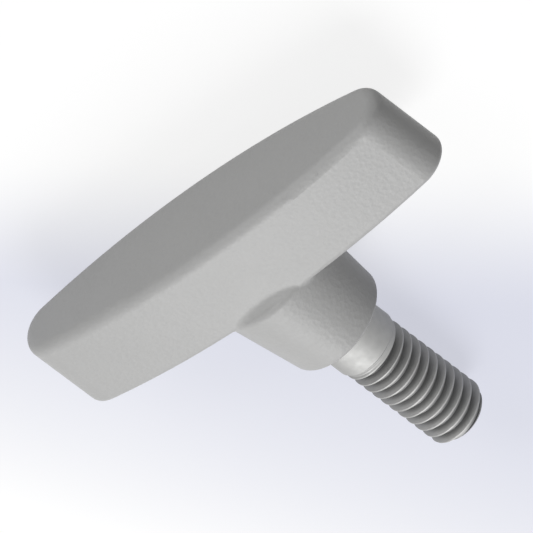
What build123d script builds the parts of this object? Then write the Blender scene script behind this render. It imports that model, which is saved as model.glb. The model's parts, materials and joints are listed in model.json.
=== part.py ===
from build123d import *
import itertools
import math
import os

# A wing knob: a moulded head, a lens-shaped wing over a round hub, with a threaded steel stud moulded into it.
# It is modelled upright, with the stud's axis on Z and the hub's seating face at z = 0, then laid down to rest.

# Wing
wing_length = 52.4
wing_thickness = 12.5
wing_height = 11.6
wing_end_radius = 3.7
crown_round = 1.4
belly_round = 0.8

# Hub, tapered towards its seating face; its shoulder stands out past the wing's broad sides
hub_height = 11.0
hub_face_diameter = 13.0
shoulder_step = 1.5
shoulder_height = 1.0
shoulder_round = 0.8
hub_face_round = 0.5
seam_round = 1.0

# Stud, from the seating face to the tip; the neck stands a little over the thread
thread_diameter = 7.94
stud_reach = 21.0
neck_step = 0.18
neck_length = 4.9
tip_chamfer = 0.9

# Anchor: the knurled, waisted shank that the head is moulded round
anchor_depth = 15.0
knurl_step = 0.4
knurl_groove_depth = 0.35
knurl_groove_count = 24
knurl_inset = 3.0
waist_step = 0.75
waist_length = 2.4
anchor_chamfer = 0.6

# Densities in g per cubic mm, which only settle how the knob comes to rest
head_density = 0.0011
stud_density = 0.00785

# Worked out from the sizes above
wing_top = hub_height + wing_height
shoulder_top = hub_height + shoulder_height
half_length = wing_length / 2
half_thickness = wing_thickness / 2
thread_radius = thread_diameter / 2
neck_radius = thread_radius + neck_step
knurl_radius = neck_radius + knurl_step
waist_radius = neck_radius - waist_step
face_radius = hub_face_diameter / 2
shoulder_radius = half_thickness + shoulder_step


def wing_plan():
    """The wing's plan: two long side arcs, each tangent to the small arcs at both ends."""
    end_centre = half_length - wing_end_radius
    reach_squared = end_centre**2 + half_thickness**2 - wing_end_radius**2
    side_radius = reach_squared / (2 * (half_thickness - wing_end_radius))
    side_centre = side_radius - half_thickness
    centre_distance = side_radius - wing_end_radius
    tangent_x = end_centre * (1 + wing_end_radius / centre_distance)
    tangent_y = side_centre * wing_end_radius / centre_distance
    front = ThreePointArc((-tangent_x, -tangent_y), (0, -half_thickness), (tangent_x, -tangent_y))
    right = ThreePointArc((tangent_x, -tangent_y), (half_length, 0), (tangent_x, tangent_y))
    back = ThreePointArc((tangent_x, tangent_y), (0, half_thickness), (-tangent_x, tangent_y))
    left = ThreePointArc((-tangent_x, tangent_y), (-half_length, 0), (-tangent_x, -tangent_y))
    return make_face([front, right, back, left])


def make_wing():
    """The wing, a prism of constant height with a rounded crown and a smaller round underneath."""
    wing = Pos(0, 0, hub_height) * extrude(wing_plan(), amount=wing_height)
    crown_edges = wing.faces().sort_by(Axis.Z)[-1].edges()
    wing = fillet(crown_edges, crown_round)
    belly_edges = wing.faces().sort_by(Axis.Z)[0].edges()
    return fillet(belly_edges, belly_round)


def turned(points, rounds):
    """A solid of revolution from (radius, height) points, with the corners in rounds filleted first."""
    outline = Plane.XZ * make_face(Polyline(*points, close=True))
    for corner, radius in rounds:
        place = Vector(corner[0], 0, corner[1])
        vertex = outline.vertices().sort_by_distance(place)[0]
        outline = fillet(vertex, radius)
    return revolve(outline, Axis.Z)


def make_hub():
    """The hub: a cone from the seating face up to a rounded shoulder that stands out past the wing."""
    face_corner = (face_radius, 0)
    shoulder_corner = (shoulder_radius, shoulder_top)
    points = [(0, 0), face_corner, shoulder_corner, (0, shoulder_top)]
    return turned(points, [(face_corner, hub_face_round), (shoulder_corner, shoulder_round)])


def make_head(stud):
    """The moulding: wing and hub, with a concave round along their whole seam, cast round the stud."""
    wing = make_wing()
    hub = make_hub()
    body = wing + hub
    seam = new_edges(wing, hub, combined=body)
    return fillet(seam, seam_round) - stud


def knurl_grooves(band_bottom, band_top):
    """The straight V grooves of one knurled band."""
    half_width = math.pi * knurl_radius / knurl_groove_count
    root = knurl_radius - knurl_groove_depth
    mouth = knurl_radius + knurl_groove_depth
    notch = make_face(Polyline((root, 0), (mouth, half_width * 2), (mouth, -half_width * 2), close=True))
    groove = Pos(0, 0, band_bottom) * extrude(notch, amount=band_top - band_bottom)
    return [Rot(0, 0, turn * 360 / knurl_groove_count) * groove for turn in range(knurl_groove_count)]


def make_stud():
    """The stud: chamfered tip, thread at its major diameter, plain neck, then the anchor inside the head."""
    waist_bottom = (knurl_inset + anchor_depth - waist_length) / 2
    waist_top = waist_bottom + waist_length
    profile = [
        (0, -stud_reach),
        (thread_radius - tip_chamfer, -stud_reach),
        (thread_radius, -stud_reach + tip_chamfer),
        (thread_radius, -neck_length - neck_step),
        (neck_radius, -neck_length),
        (neck_radius, knurl_inset),
        (knurl_radius, knurl_inset),
        (knurl_radius, waist_bottom),
        (waist_radius, waist_bottom),
        (waist_radius, waist_top),
        (knurl_radius, waist_top),
        (knurl_radius, anchor_depth - anchor_chamfer),
        (knurl_radius - anchor_chamfer, anchor_depth),
        (0, anchor_depth),
    ]
    stud = turned(profile, [])
    for groove in knurl_grooves(knurl_inset, waist_bottom) + knurl_grooves(waist_top, anchor_depth):
        stud = stud - groove
    return stud


def rest_line(mass_height):
    """The knob lies on the side of its profile that is under its centre of mass: that line's tilt and radius."""
    profile = [
        (-stud_reach + tip_chamfer, thread_radius),
        (0, face_radius),
        (shoulder_top, shoulder_radius),
        (wing_top - crown_round, half_thickness),
    ]
    for low, high in itertools.combinations(profile, 2):
        slope = (high[1] - low[1]) / (high[0] - low[0])
        start_radius = low[1] - slope * low[0]
        outermost = max(radius - start_radius - slope * height for height, radius in profile)
        foot = (mass_height - slope * start_radius) / (1 + slope**2)
        if outermost < 1e-9 and low[0] <= foot <= high[0]:
            return math.degrees(math.atan(slope)), start_radius
    raise ValueError("the knob has no line to rest on under its centre of mass")


stud = make_stud()
head = make_head(stud)

head_mass = head.volume * head_density
stud_mass = stud.volume * stud_density
mass_height = (head_mass * head.center().Z + stud_mass * stud.center().Z) / (head_mass + stud_mass)
tilt, rest_radius = rest_line(mass_height)

# At rest the stud points along -Y and the wing lies along X, with one broad side of the knob on the surface.
laid = Pos(0, 0, rest_radius * math.cos(math.radians(tilt))) * Rot(tilt - 90, 0, 0)
box = Compound([laid * head, laid * stud]).bounding_box()
rest = Pos(0, -(box.min.Y + box.max.Y) / 2, -box.min.Z) * laid
parts = {"wing_head": rest * head, "threaded_stud": rest * stud}

os.makedirs("parts", exist_ok=True)
for name, solid in parts.items():
    export_step(solid, f"parts/{name}.step")

# The interfaces, in mm in the resting frame: the stud's thread and the hub's seating face
thread_top = -neck_length - neck_step
thread_middle = (thread_top - stud_reach + tip_chamfer) / 2
face_middle = (face_radius - hub_face_round + neck_radius) / 2
print("rest tilt", round(tilt, 4), "centre of mass height", round(mass_height, 3))
print("thread middle", (rest * Pos(0, 0, thread_middle)).position, "length", thread_top + stud_reach - tip_chamfer)
print("seating face", (rest * Pos(face_middle, 0, 0)).position)
print("stud direction", (rest * Pos(0, 0, -1)).position - rest.position)
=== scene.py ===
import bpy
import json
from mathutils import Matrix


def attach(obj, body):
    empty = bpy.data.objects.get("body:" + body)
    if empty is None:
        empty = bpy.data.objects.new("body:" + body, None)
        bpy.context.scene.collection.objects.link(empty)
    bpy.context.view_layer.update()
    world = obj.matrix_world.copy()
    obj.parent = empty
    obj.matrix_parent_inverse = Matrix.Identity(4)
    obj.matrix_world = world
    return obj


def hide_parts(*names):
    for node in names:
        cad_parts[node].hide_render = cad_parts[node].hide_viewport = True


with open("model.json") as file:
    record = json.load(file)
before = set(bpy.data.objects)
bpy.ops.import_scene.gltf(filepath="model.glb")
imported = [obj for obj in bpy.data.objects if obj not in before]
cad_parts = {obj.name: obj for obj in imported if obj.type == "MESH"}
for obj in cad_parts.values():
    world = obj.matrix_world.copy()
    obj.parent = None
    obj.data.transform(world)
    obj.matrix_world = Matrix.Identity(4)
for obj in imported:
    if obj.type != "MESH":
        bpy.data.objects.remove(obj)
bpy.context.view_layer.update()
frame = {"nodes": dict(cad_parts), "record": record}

import json
import math

import bmesh
import bpy
from bpy.props import FloatProperty, FloatVectorProperty, IntProperty, PointerProperty
from mathutils import Matrix, Vector

bl_info = {
    "name": "Wing knob",
    "version": (1, 0, 0),
    "blender": (4, 5, 0),
    "location": "View3D > Sidebar > Wing knob",
    "description": "Builds the threaded stud of a wing knob, finishes its head and sets its stage",
    "category": "Object",
}

MM = 0.001

# The knob's own frame: its origin is the middle of the hub's seating face, Z runs from the stud up through
# the wing's flat top, X runs along the wing, and the side that is up at rest is -Y.
MOUNTS = {mount["name"]: mount for mount in frame["record"]["mounts"]}
THREAD = MOUNTS["stud_thread"]
STUD_WAY = Vector(THREAD["axis"]).normalized()
THREAD_MIDDLE = Vector(THREAD["pos_m"])
THREAD_RADIUS = THREAD["dims"]["r_mm"] * MM
THREAD_LENGTH = THREAD["dims"]["length_mm"] * MM
FACE_TO_MIDDLE = (THREAD_MIDDLE - Vector(MOUNTS["seating_face"]["pos_m"])).dot(STUD_WAY)
SEAT = THREAD_MIDDLE - STUD_WAY * FACE_TO_MIDDLE
KNOB_X = Vector((1, 0, 0))
KNOB_Z = -STUD_WAY
KNOB_Y = KNOB_Z.cross(KNOB_X)


def from_columns(x, y, z, origin):
    """The matrix that takes a frame with these axes and origin to the world."""
    turn = Matrix((x, y, z)).transposed()
    return Matrix.Translation(origin) @ turn.to_4x4()


KNOB = from_columns(KNOB_X, KNOB_Y, KNOB_Z, SEAT)


def reach_along(node, way):
    """How far a node reaches from the seating face along a direction, and how far behind it."""
    places = [(vertex.co - SEAT).dot(way) for vertex in frame["nodes"][node].data.vertices]
    return max(places), -min(places)


STUD_REACH, ANCHOR_DEPTH = reach_along("threaded_stud", STUD_WAY)
WING_TOP = reach_along("wing_head", KNOB_Z)[0]


class WingKnobStudSizes(bpy.types.PropertyGroup):
    """Sizes of the threaded stud."""

    pitch: FloatProperty(
        name="Thread pitch",
        description="Distance from one turn of the thread to the next, 18 turns to the inch",
        default=25.4 / 18 * MM,
        unit="LENGTH",
    )
    thread_depth: FloatProperty(
        name="Thread depth",
        description="Depth of the thread's groove under the crest",
        default=0.84 * MM,
        unit="LENGTH",
    )
    run_out: FloatProperty(
        name="Run-out",
        description="Length over which the groove fades out towards the neck",
        default=1.6 * MM,
        unit="LENGTH",
    )
    tip_chamfer: FloatProperty(
        name="Tip chamfer",
        description="Leg of the 45 degree chamfer at the tip",
        default=0.9 * MM,
        unit="LENGTH",
    )
    neck_step: FloatProperty(
        name="Neck step",
        description="How far the plain neck stands out over the thread's crest",
        default=0.18 * MM,
        unit="LENGTH",
    )
    knurl_step: FloatProperty(
        name="Knurl step",
        description="How far the anchor's knurl stands out over the neck",
        default=0.4 * MM,
        unit="LENGTH",
    )
    knurl_groove_depth: FloatProperty(
        name="Knurl groove depth",
        description="Depth of the knurl's straight V grooves",
        default=0.35 * MM,
        unit="LENGTH",
    )
    knurl_grooves: IntProperty(
        name="Knurl grooves",
        description="Number of V grooves round the anchor",
        default=24,
    )
    knurl_inset: FloatProperty(
        name="Knurl inset",
        description="Distance from the seating face to the knurl inside the head",
        default=3.0 * MM,
        unit="LENGTH",
    )
    waist_step: FloatProperty(
        name="Waist step",
        description="How far the anchor's waist lies under the neck's surface",
        default=0.75 * MM,
        unit="LENGTH",
    )
    waist_length: FloatProperty(
        name="Waist length",
        description="Length of the waist between the two knurled bands",
        default=2.4 * MM,
        unit="LENGTH",
    )
    anchor_chamfer: FloatProperty(
        name="Anchor chamfer",
        description="Leg of the chamfer at the anchor's hidden end",
        default=0.6 * MM,
        unit="LENGTH",
    )


class WingKnobFinishes(bpy.types.PropertyGroup):
    """Colours and surface finish."""

    head_colour: FloatVectorProperty(
        name="Head colour",
        description="Colour of the moulded plastic",
        default=(0.56, 0.56, 0.555),
        subtype="COLOR",
    )
    head_roughness: FloatProperty(
        name="Head roughness",
        description="Mean roughness of the moulded plastic",
        default=0.46,
    )
    grain_size: FloatProperty(
        name="Grain size",
        description="Size of the fine grain that the mould leaves on the plastic",
        default=0.36 * MM,
        unit="LENGTH",
    )
    grain_height: FloatProperty(
        name="Grain height",
        description="Height of the fine grain on the plastic",
        default=0.036 * MM,
        unit="LENGTH",
    )
    steel_colour: FloatVectorProperty(
        name="Steel colour",
        description="Colour of the plated steel",
        default=(0.35, 0.35, 0.345),
        subtype="COLOR",
    )
    # Painted shade: the thread's groove is painted darker towards its root
    painted_root_shade: FloatVectorProperty(
        name="Root colour",
        # Painted shade: the darker colour given to the steel at the bottom of the thread's groove
        description="Colour of the steel at the bottom of the thread's groove, where the plating stays dull",
        default=(0.24, 0.24, 0.24),
        subtype="COLOR",
    )
    steel_roughness: FloatProperty(
        name="Steel roughness",
        description="Mean roughness of the plated steel",
        default=0.58,
    )
    turning_pitch: FloatProperty(
        name="Turning pitch",
        description="Spacing of the fine rings that turning leaves on the neck",
        default=0.09 * MM,
        unit="LENGTH",
    )


class WingKnobStage(bpy.types.PropertyGroup):
    """Camera, floor and light."""

    azimuth: FloatProperty(
        name="Azimuth",
        description="Camera's angle round the stud's axis, from the side that is up towards +X",
        default=math.radians(31.36),
        subtype="ANGLE",
    )
    elevation: FloatProperty(
        name="Elevation",
        description="Camera's angle above the seating face, towards the wing's flat top",
        default=math.radians(33.0),
        subtype="ANGLE",
    )
    roll: FloatProperty(
        name="Roll",
        description="Camera's turn about its own line of sight",
        default=math.radians(36.99),
        subtype="ANGLE",
    )
    view_width: FloatProperty(
        name="View width",
        description="Width of the picture at the knob",
        default=58.58 * MM,
        unit="LENGTH",
    )
    aim_right: FloatProperty(
        name="Aim right",
        description="How far right of the flat top's middle the picture's middle lies",
        default=7.595 * MM,
        unit="LENGTH",
    )
    aim_down: FloatProperty(
        name="Aim down",
        description="How far below the flat top's middle the picture's middle lies",
        default=5.387 * MM,
        unit="LENGTH",
    )
    lens: FloatProperty(
        name="Lens",
        description="Focal length in millimetres, long enough to keep parallel edges parallel",
        default=1500.0,
    )
    key_level: FloatProperty(
        name="Key level",
        description="Light that the key softbox gives a surface facing it, where 1 shows a colour as written",
        default=0.66,
    )
    back_level: FloatProperty(
        name="Back level",
        description="Light that the softbox behind the wing's flat top gives a surface facing it",
        default=0.36,
    )
    room_level: FloatProperty(
        name="Room level",
        description="Even light from all round",
        default=0.17,
    )
    floor_light: FloatVectorProperty(
        name="Light floor",
        description="Colour of the floor where it is lightest",
        default=(1.0, 1.0, 1.0),
        subtype="COLOR",
    )
    floor_blue: FloatVectorProperty(
        name="Blue floor",
        description="Colour of the floor where it is palest blue",
        default=(0.716, 0.730, 0.823),
        subtype="COLOR",
    )


def new_mesh_object(name, shape):
    """A mesh object of this bmesh, which is given in the knob's frame."""
    bmesh.ops.recalc_face_normals(shape, faces=shape.faces)
    shape.transform(KNOB)
    mesh = bpy.data.meshes.new(name)
    shape.to_mesh(mesh)
    shape.free()
    piece = bpy.data.objects.new(name, mesh)
    bpy.context.scene.collection.objects.link(piece)
    return piece


def node_maker(material):
    """A function that adds a node to a material and joins sockets to its inputs."""
    tree = material.node_tree

    def add(kind, inputs=None, **settings):
        node = tree.nodes.new(kind)
        for setting, value in settings.items():
            setattr(node, setting, value)
        for socket, value in (inputs or {}).items():
            if isinstance(value, bpy.types.NodeSocket):
                tree.links.new(value, node.inputs[socket])
            else:
                node.inputs[socket].default_value = value
        return node

    return add


def new_material(name):
    """An empty node material and its node maker."""
    material = bpy.data.materials.new(name)
    material.use_nodes = True
    material.node_tree.nodes.clear()
    return material, node_maker(material)


# The plastic's slow drift in patches per metre, its pits' scale against its grain's, and its bump strength
DRIFT_SCALE = 0.2 / MM
PIT_SCALE = 0.6
GRAIN_STRENGTH = 0.8

# The steel's mottle in patches per metre, and the height and bump strength of its turning rings
MOTTLE_SCALE = 1.1 / MM
RING_HEIGHT = 0.006 * MM
RING_STRENGTH = 0.35

# How far the darker tones go below the colour, and how far the roughness swings to each side
SPECKLE_SHADE = 0.88
MOTTLE_SHADE = 0.86
HEAD_GLOSS_SPREAD = 0.05
STEEL_GLOSS_SPREAD = 0.08


def moulded_plastic(finish):
    """Satin moulded plastic: fine mould grain, and a speckle of colour that drifts over the surface."""
    material, add = new_material("moulded_plastic")
    place = add("ShaderNodeTexCoord").outputs["Object"]
    drift = add("ShaderNodeTexNoise", {"Vector": place, "Scale": DRIFT_SCALE, "Detail": 3.0}).outputs["Fac"]
    grain_scale = 1 / finish.grain_size
    pit_scale = grain_scale * PIT_SCALE
    grain = add("ShaderNodeTexNoise", {"Vector": place, "Scale": grain_scale, "Detail": 4.0}).outputs["Fac"]
    pits = add("ShaderNodeTexVoronoi", {"Vector": place, "Scale": pit_scale}).outputs["Distance"]
    relief = add("ShaderNodeMath", {0: grain, 1: pits}, operation="ADD").outputs[0]
    bump = add(
        "ShaderNodeBump",
        {"Height": relief, "Strength": GRAIN_STRENGTH, "Distance": finish.grain_height},
    )
    speckle = add("ShaderNodeMath", {0: grain, 1: drift}, operation="MULTIPLY").outputs[0]
    light = tuple(finish.head_colour)
    dark = tuple(channel * SPECKLE_SHADE for channel in light)
    colour = add(
        "ShaderNodeMix",
        {"Factor": speckle, "A": (*light, 1), "B": (*dark, 1)},
        data_type="RGBA",
    )
    gloss = add(
        "ShaderNodeMapRange",
        {
            "Value": grain,
            "To Min": finish.head_roughness - HEAD_GLOSS_SPREAD,
            "To Max": finish.head_roughness + HEAD_GLOSS_SPREAD,
        },
    )
    surface = add(
        "ShaderNodeBsdfPrincipled",
        {
            "Base Color": colour.outputs["Result"],
            "Roughness": gloss.outputs["Result"],
            "Normal": bump.outputs["Normal"],
        },
    )
    add("ShaderNodeOutputMaterial", {"Surface": surface.outputs["BSDF"]})
    return material


def plated_steel(finish, thread_depth):
    """Zinc-plated steel: fine turning rings about the stud's axis, faint mottle, and painted shade that
    darkens the thread's root.
    """
    material, add = new_material("plated_steel")
    place = add("ShaderNodeTexCoord").outputs["Object"]
    from_seat = add(
        "ShaderNodeVectorMath", {0: place, 1: tuple(SEAT)}, operation="SUBTRACT"
    ).outputs["Vector"]
    offset = add(
        "ShaderNodeVectorMath", {0: from_seat, 1: tuple(KNOB_Z)}, operation="CROSS_PRODUCT"
    ).outputs["Vector"]
    radius = add("ShaderNodeVectorMath", {0: offset}, operation="LENGTH").outputs["Value"]
    # Painted shade mask by radius: 0 at the thread's root, 1 at its crest
    clear_of_painted_shade = add(
        "ShaderNodeMapRange",
        {"Value": radius, "From Min": THREAD_RADIUS - thread_depth, "From Max": THREAD_RADIUS},
    ).outputs["Result"]
    along = add(
        "ShaderNodeVectorMath", {0: place, 1: tuple(KNOB_Z)}, operation="DOT_PRODUCT"
    ).outputs["Value"]
    rings = add(
        "ShaderNodeTexNoise",
        {"W": along, "Scale": 1 / finish.turning_pitch, "Detail": 2.0},
        noise_dimensions="1D",
    ).outputs["Fac"]
    mottle = add("ShaderNodeTexNoise", {"Vector": place, "Scale": MOTTLE_SCALE, "Detail": 5.0}).outputs["Fac"]
    bump = add("ShaderNodeBump", {"Height": rings, "Strength": RING_STRENGTH, "Distance": RING_HEIGHT})
    light = tuple(finish.steel_colour)
    dark = tuple(channel * MOTTLE_SHADE for channel in light)
    bright = add(
        "ShaderNodeMix",
        {"Factor": mottle, "A": (*light, 1), "B": (*dark, 1)},
        data_type="RGBA",
    )
    # Painted shade: the steel's colour darkens towards the bottom of the thread's groove
    colour = add(
        "ShaderNodeMix",
        {"Factor": clear_of_painted_shade, "A": (*finish.painted_root_shade, 1), "B": bright.outputs["Result"]},
        data_type="RGBA",
    )
    gloss = add(
        "ShaderNodeMapRange",
        {
            "Value": mottle,
            "To Min": finish.steel_roughness - STEEL_GLOSS_SPREAD,
            "To Max": finish.steel_roughness + STEEL_GLOSS_SPREAD,
        },
    )
    around = add("ShaderNodeVectorMath", {0: offset}, operation="NORMALIZE").outputs["Vector"]
    surface = add(
        "ShaderNodeBsdfPrincipled",
        {
            "Base Color": colour.outputs["Result"],
            "Metallic": 1.0,
            "Roughness": gloss.outputs["Result"],
            "Anisotropic": 0.5,
            "Tangent": around,
            "Normal": bump.outputs["Normal"],
        },
    )
    add("ShaderNodeOutputMaterial", {"Surface": surface.outputs["BSDF"]})
    return material


class WINGKNOB_OT_finish_head(bpy.types.Operator):
    """Give the moulded head its satin plastic finish"""

    bl_idname = "wingknob.finish_head"
    bl_label = "Finish head"

    def execute(self, context):
        head = frame["nodes"]["wing_head"]
        material = moulded_plastic(context.scene.wing_knob_finishes)
        for slot in head.material_slots:
            slot.material = material
        return {"FINISHED"}


# Points round the stud, and samples of the thread's profile in each pitch
AROUND = 96
PROFILE_STEPS = 16

# Flats of the thread's crest and root, as shares of the pitch
CREST_SHARE = 1 / 8
ROOT_SHARE = 1 / 4

# Points nearer than this are one, and edges that meet at a larger angle than this stay sharp
MERGE_DISTANCE = 0.0005 * MM
SHARP_ANGLE = math.radians(38)


def groove_share(phase):
    """Depth of the thread at a place within its pitch, from 0 on the crest to 1 at the root."""
    from_crest = min(phase, 1 - phase) - CREST_SHARE / 2
    flank = 0.5 - CREST_SHARE / 2 - ROOT_SHARE / 2
    return min(max(from_crest / flank, 0), 1)


def thread_radius_at(sizes, phase, height):
    """The thread's radius, faded out towards the neck and cut back by the chamfer at the tip."""
    top = -STUD_REACH + sizes.tip_chamfer + THREAD_LENGTH
    fade = min(max((top - height) / sizes.run_out, 0), 1)
    fade = fade * fade * (3 - 2 * fade)
    groove = sizes.thread_depth * groove_share(phase) * fade
    chamfer = THREAD_RADIUS - sizes.tip_chamfer + height + STUD_REACH
    return min(THREAD_RADIUS - groove, chamfer)


def add_thread(shape, sizes):
    """The threaded stretch: rows that follow the right-hand helix, closed at both ends on a plain ring."""
    bottom = -STUD_REACH
    top = bottom + sizes.tip_chamfer + THREAD_LENGTH
    turns = math.ceil((top - bottom) / sizes.pitch) + 1
    rows = turns * PROFILE_STEPS
    grid = []
    for row in range(rows + 1):
        ring = []
        for step in range(AROUND):
            share = step / AROUND
            height = bottom + (row / PROFILE_STEPS - 1 + share) * sizes.pitch
            height = min(max(height, bottom), top)
            radius = thread_radius_at(sizes, (row / PROFILE_STEPS) % 1, height)
            angle = share * math.tau
            ring.append(shape.verts.new((radius * math.cos(angle), radius * math.sin(angle), height)))
        grid.append(ring)
    for row in range(rows):
        for step in range(AROUND - 1):
            low, high = grid[row], grid[row + 1]
            shape.faces.new((low[step], low[step + 1], high[step + 1], high[step]))
    end = AROUND - 1
    for row in range(rows - PROFILE_STEPS):
        up = row + PROFILE_STEPS
        shape.faces.new((grid[row][end], grid[up][0], grid[up + 1][0], grid[row + 1][end]))


def knurled(radius, depth, grooves, angle):
    """The knurl's radius at an angle: a V groove in each share of the turn."""
    phase = angle * grooves / math.tau % 1
    return radius - depth * (1 - abs(2 * phase - 1))


def add_rings(shape, rings):
    """A tube through rings of (height, radius at an angle), open at the first and capped at the last."""
    made = []
    for height, radius_at in rings:
        ring = []
        for step in range(AROUND):
            angle = step / AROUND * math.tau
            radius = radius_at(angle)
            ring.append(shape.verts.new((radius * math.cos(angle), radius * math.sin(angle), height)))
        made.append(ring)
    for low, high in zip(made, made[1:]):
        for step in range(AROUND):
            after = (step + 1) % AROUND
            shape.faces.new((low[step], low[after], high[after], high[step]))
    shape.faces.new(made[-1])


def add_shank(shape, sizes):
    """The plain neck, and the knurled and waisted anchor inside the head."""
    start = -STUD_REACH + sizes.tip_chamfer + THREAD_LENGTH
    neck = THREAD_RADIUS + sizes.neck_step
    crest = neck + sizes.knurl_step
    waist = neck - sizes.waist_step
    waist_bottom = (sizes.knurl_inset + ANCHOR_DEPTH - sizes.waist_length) / 2
    waist_top = waist_bottom + sizes.waist_length

    def plain(radius):
        return lambda angle: radius

    def knurl(radius):
        return lambda angle: knurled(radius, sizes.knurl_groove_depth, sizes.knurl_grooves, angle)

    rings = [
        (start, plain(THREAD_RADIUS)),
        (start + sizes.neck_step, plain(neck)),
        (sizes.knurl_inset, plain(neck)),
        (sizes.knurl_inset, knurl(crest)),
        (waist_bottom, knurl(crest)),
        (waist_bottom, plain(waist)),
        (waist_top, plain(waist)),
        (waist_top, knurl(crest)),
        (ANCHOR_DEPTH - sizes.anchor_chamfer, knurl(crest)),
        (ANCHOR_DEPTH, plain(crest - sizes.anchor_chamfer)),
    ]
    add_rings(shape, rings)


def add_tip(shape, sizes):
    """The flat end of the stud inside its chamfer."""
    radius = THREAD_RADIUS - sizes.tip_chamfer
    ring = []
    for step in range(AROUND):
        angle = -step / AROUND * math.tau
        ring.append(shape.verts.new((radius * math.cos(angle), radius * math.sin(angle), -STUD_REACH)))
    shape.faces.new(ring)


class WINGKNOB_OT_make_stud(bpy.types.Operator):
    """Build the steel stud with its helical thread, plain neck and knurled anchor"""

    bl_idname = "wingknob.make_stud"
    bl_label = "Make stud"

    def execute(self, context):
        sizes = context.scene.wing_knob_stud
        shape = bmesh.new()
        add_thread(shape, sizes)
        add_shank(shape, sizes)
        add_tip(shape, sizes)
        bmesh.ops.remove_doubles(shape, verts=shape.verts, dist=MERGE_DISTANCE)
        bmesh.ops.dissolve_degenerate(shape, edges=shape.edges, dist=MERGE_DISTANCE)
        piece = new_mesh_object("stud", shape)
        piece.data.shade_smooth()
        piece.data.set_sharp_from_angle(angle=SHARP_ANGLE)
        piece.data.materials.append(plated_steel(context.scene.wing_knob_finishes, sizes.thread_depth))
        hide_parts("threaded_stud")
        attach(piece, "root")
        return {"FINISHED"}


# Directions of the two softboxes, and their distance and width in metres
KEY_WAY = (-0.27, -0.58, 0.77)
BACK_WAY = (-0.16, 0.89, 0.42)
SOFTBOX_DISTANCE = 1.0
SOFTBOX_WIDTH = 0.65


def add_softbox(name, way, level):
    """A square lamp that looks at the knob from a direction; level is what it gives a surface facing it."""
    lamp = bpy.data.lights.new(name, "AREA")
    lamp.shape = "SQUARE"
    lamp.size = SOFTBOX_WIDTH
    lamp.energy = level * (math.pi * SOFTBOX_DISTANCE) ** 2
    softbox = bpy.data.objects.new(name, lamp)
    way = Vector(way).normalized()
    softbox.location = way * SOFTBOX_DISTANCE
    softbox.rotation_mode = "QUATERNION"
    softbox.rotation_quaternion = way.to_track_quat("Z", "Y")
    softbox.visible_camera = False
    bpy.context.scene.collection.objects.link(softbox)


def seen_share(add):
    """1 where a ray comes straight from the camera, a mirror or a glass, and 0 for the rest."""
    path = add("ShaderNodeLightPath").outputs
    shiny = add("ShaderNodeMath", {0: path["Is Camera Ray"], 1: path["Is Glossy Ray"]}, operation="MAXIMUM")
    return add(
        "ShaderNodeMath", {0: shiny.outputs[0], 1: path["Is Transmission Ray"]}, operation="MAXIMUM"
    ).outputs[0]


# The floor's shade, by distance from the picture's middle: palest blue a little below it, white above, and
# lighter again towards the lower left corner
BLUE_HEIGHT = -6 * MM
WHITE_HEIGHT = 13 * MM
LOWER_START = -3 * MM
LOWER_END = 34 * MM
LOWER_LEAN = math.radians(18)

# Share of the floor's colour that the lamps light, so that it shows a shadow; the rest of it glows
LIT_SHARE = 0.28
GLOW = 0.80

# Half the floor's width in metres
FLOOR_HALF = 2.0


def floor_material(stage, right, up, aim):
    """A pale floor that goes from white to pale blue across the picture, and keeps a soft shadow."""
    material, add = new_material("pale_floor")
    place = add("ShaderNodeTexCoord").outputs["Object"]
    from_aim = add("ShaderNodeVectorMath", {0: place, 1: tuple(aim)}, operation="SUBTRACT").outputs["Vector"]

    def along(way):
        return add(
            "ShaderNodeVectorMath", {0: from_aim, 1: tuple(way)}, operation="DOT_PRODUCT"
        ).outputs["Value"]

    lower_left = -math.cos(LOWER_LEAN) * up - math.sin(LOWER_LEAN) * right
    above = add(
        "ShaderNodeMapRange",
        {"Value": along(up), "From Min": BLUE_HEIGHT, "From Max": WHITE_HEIGHT},
        interpolation_type="SMOOTHSTEP",
    ).outputs["Result"]
    below = add(
        "ShaderNodeMapRange",
        {"Value": along(lower_left), "From Min": LOWER_START, "From Max": LOWER_END},
    ).outputs["Result"]
    below = add("ShaderNodeMath", {0: below, 1: 2.0}, operation="POWER").outputs[0]
    blend = add("ShaderNodeMath", {0: above, 1: below}, operation="MAXIMUM").outputs[0]
    colour = add(
        "ShaderNodeMix",
        {"Factor": blend, "A": (*stage.floor_blue, 1), "B": (*stage.floor_light, 1)},
        data_type="RGBA",
    ).outputs["Result"]
    lit = add("ShaderNodeVectorMath", {0: colour, "Scale": LIT_SHARE}, operation="SCALE").outputs["Vector"]
    glow = add("ShaderNodeEmission", {"Color": colour, "Strength": GLOW}).outputs["Emission"]
    dull = add("ShaderNodeBsdfDiffuse", {"Color": lit}).outputs["BSDF"]
    none = add("ShaderNodeEmission", {"Strength": 0.0}).outputs["Emission"]
    shown = add("ShaderNodeMixShader", {0: seen_share(add), 1: none, 2: glow}).outputs["Shader"]
    both = add("ShaderNodeAddShader", {0: dull, 1: shown}).outputs["Shader"]
    add("ShaderNodeOutputMaterial", {"Surface": both})
    return material


def add_floor(stage, right, up, aim):
    """The floor that the knob lies on."""
    half = FLOOR_HALF
    shape = bmesh.new()
    corners = [(-half, -half), (half, -half), (half, half), (-half, half)]
    shape.faces.new([shape.verts.new((x, y, 0)) for x, y in corners])
    mesh = bpy.data.meshes.new("floor")
    shape.to_mesh(mesh)
    shape.free()
    floor = bpy.data.objects.new("floor", mesh)
    bpy.context.scene.collection.objects.link(floor)
    mesh.materials.append(floor_material(stage, right, up, aim))


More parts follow.
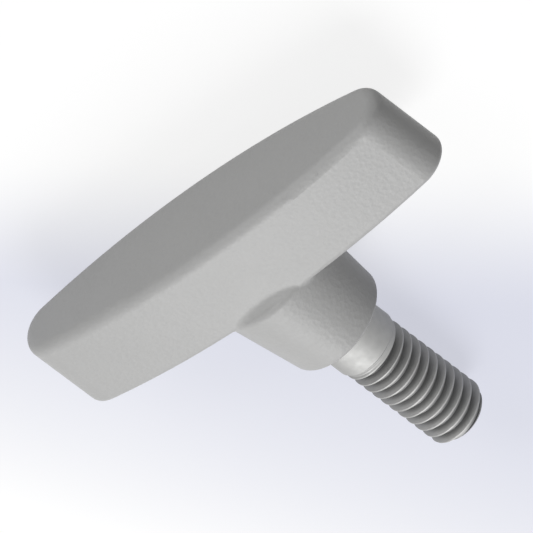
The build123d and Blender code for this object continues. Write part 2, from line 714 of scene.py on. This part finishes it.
def set_room(stage):
    """Even light from all round, which the camera sees as a white backdrop."""
    world = bpy.data.worlds.new("room")
    bpy.context.scene.world = world
    world.use_nodes = True
    world.node_tree.nodes.clear()
    add = node_maker(world)
    light = add("ShaderNodeBackground", {"Strength": stage.room_level}).outputs["Background"]
    backdrop = add("ShaderNodeBackground", {"Strength": 1.0}).outputs["Background"]
    both = add("ShaderNodeMixShader", {0: seen_share(add), 1: light, 2: backdrop}).outputs["Shader"]
    light.node.inputs["Color"].default_value = (1, 1, 1, 1)
    backdrop.node.inputs["Color"].default_value = (*stage.floor_light, 1)
    add("ShaderNodeOutputWorld", {"Surface": both})


def camera_axes(stage):
    """The camera's right, up and back directions in the world."""
    sin_a, cos_a = math.sin(stage.azimuth), math.cos(stage.azimuth)
    sin_e, cos_e = math.sin(stage.elevation), math.cos(stage.elevation)
    level = Vector((cos_a, sin_a, 0))
    steep = Vector((-sin_e * sin_a, sin_e * cos_a, cos_e))
    back = level.cross(steep)
    right = math.sin(stage.roll) * level - math.cos(stage.roll) * steep
    up = math.cos(stage.roll) * level + math.sin(stage.roll) * steep
    turn = KNOB.to_3x3()
    return turn @ right, turn @ up, turn @ back


def add_camera(stage, right, up, back, aim):
    """The camera, far off behind a long lens."""
    data = bpy.data.cameras.new("camera")
    data.lens = stage.lens
    distance = stage.view_width * data.lens / data.sensor_width
    camera = bpy.data.objects.new("camera", data)
    camera.matrix_world = from_columns(right, up, back, aim + back * distance)
    bpy.context.scene.collection.objects.link(camera)
    bpy.context.scene.camera = camera


class WINGKNOB_OT_set_stage(bpy.types.Operator):
    """Set the floor, the room's light, the softboxes and the camera"""

    bl_idname = "wingknob.set_stage"
    bl_label = "Set stage"

    def execute(self, context):
        stage = context.scene.wing_knob_stage
        context.scene.view_settings.view_transform = "Standard"
        right, up, back = camera_axes(stage)
        aim = KNOB @ Vector((0, 0, WING_TOP)) + right * stage.aim_right - up * stage.aim_down
        add_floor(stage, right, up, aim)
        set_room(stage)
        add_softbox("key_softbox", KEY_WAY, stage.key_level)
        add_softbox("back_softbox", BACK_WAY, stage.back_level)
        add_camera(stage, right, up, back, aim)
        return {"FINISHED"}


class WINGKNOB_PT_sidebar(bpy.types.Panel):
    """Sizes, finishes and stage of the wing knob"""

    bl_idname = "WINGKNOB_PT_sidebar"
    bl_label = "Wing knob"
    bl_space_type = "VIEW_3D"
    bl_region_type = "UI"
    bl_category = "Wing knob"

    def draw(self, context):
        layout = self.layout
        for group in SETTINGS:
            settings = getattr(context.scene, group)
            box = layout.box()
            for name in type(settings).__annotations__:
                box.prop(settings, name)
        for operator in OPERATORS:
            layout.operator(operator.bl_idname)


OPERATORS = (WINGKNOB_OT_finish_head, WINGKNOB_OT_make_stud, WINGKNOB_OT_set_stage)
SETTINGS = {
    "wing_knob_stud": WingKnobStudSizes,
    "wing_knob_finishes": WingKnobFinishes,
    "wing_knob_stage": WingKnobStage,
}
CLASSES = (*SETTINGS.values(), *OPERATORS, WINGKNOB_PT_sidebar)


def register():
    for added in CLASSES:
        bpy.utils.register_class(added)
    for name, group in SETTINGS.items():
        setattr(bpy.types.Scene, name, PointerProperty(type=group))


def unregister():
    for name in SETTINGS:
        delattr(bpy.types.Scene, name)
    for added in reversed(CLASSES):
        bpy.utils.unregister_class(added)


def main():
    register()
    bpy.ops.wingknob.finish_head()
    bpy.ops.wingknob.make_stud()
    bpy.ops.wingknob.set_stage()


if __name__ == "__main__":
    main()
